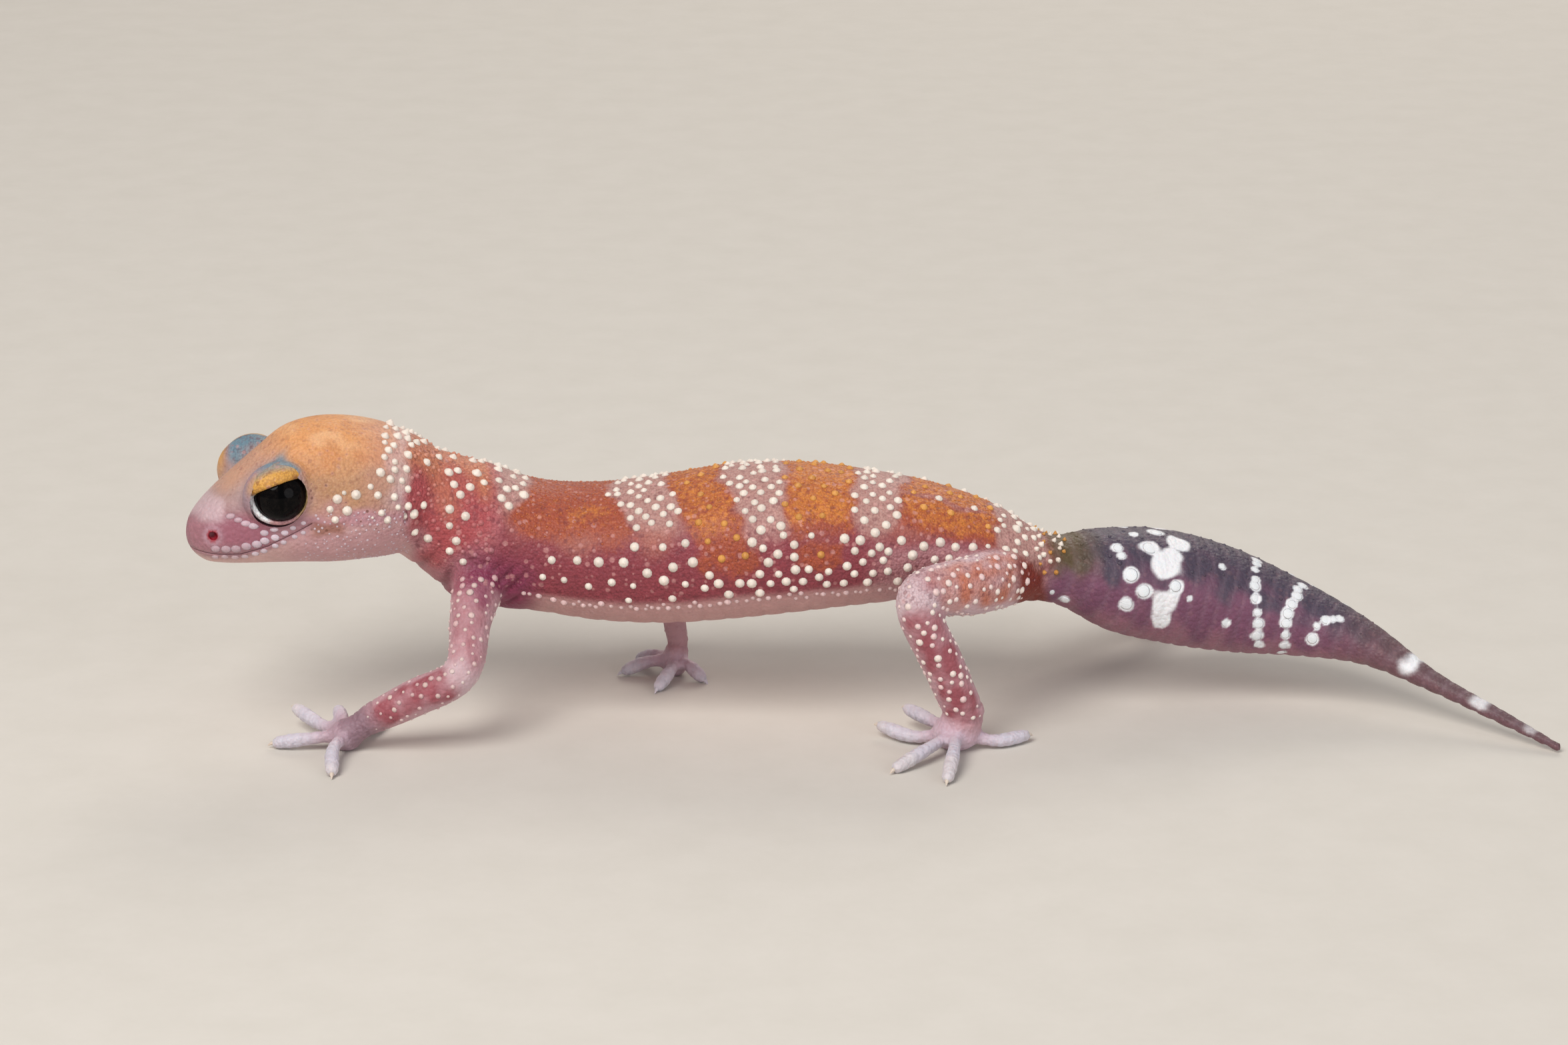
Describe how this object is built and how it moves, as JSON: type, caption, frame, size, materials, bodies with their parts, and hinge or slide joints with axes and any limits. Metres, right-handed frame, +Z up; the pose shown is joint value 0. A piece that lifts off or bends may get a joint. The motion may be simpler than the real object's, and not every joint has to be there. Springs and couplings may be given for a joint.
{
  "type": "thick-tailed gecko",
  "caption": "Life-size still model of a thick-tailed gecko, walking with its head turned to its left, a plump tapering tail and splayed feet that rest on a flat floor.",
  "frame": {"origin": "centre of the footprint of the bounding box, on the floor", "axes": "+Z up, the head points along -X, the tail along +X, the animal's left side faces -Y"},
  "size_m": [0.1266, 0.0491, 0.0295],
  "materials": {
    "head_skin": "satin, finely grained skin, orange above and mauve pink on the snout",
    "body_skin": "satin, finely grained skin, orange saddles and pale bands over raspberry pink",
    "tail_skin": "satin, purple skin with white blotches",
    "limb_skin": "satin, pink skin with paler toes",
    "eye": "very glossy, near black"
  },
  "bodies": {
    "root": {"head": "head_skin", "neck": "body_skin", "torso": "body_skin", "tail_base": "tail_skin", "tail_middle": "tail_skin", "tail_tip": "tail_skin", "left_upper_arm": "limb_skin", "left_forearm": "limb_skin", "left_hand": "limb_skin", "right_upper_arm": "limb_skin", "right_forearm": "limb_skin", "right_hand": "limb_skin", "left_thigh": "limb_skin", "left_shank": "limb_skin", "left_foot": "limb_skin", "right_thigh": "limb_skin", "right_shank": "limb_skin", "right_foot": "limb_skin", "left_eye": "eye", "right_eye": "eye"}
  },
  "joints": []
}
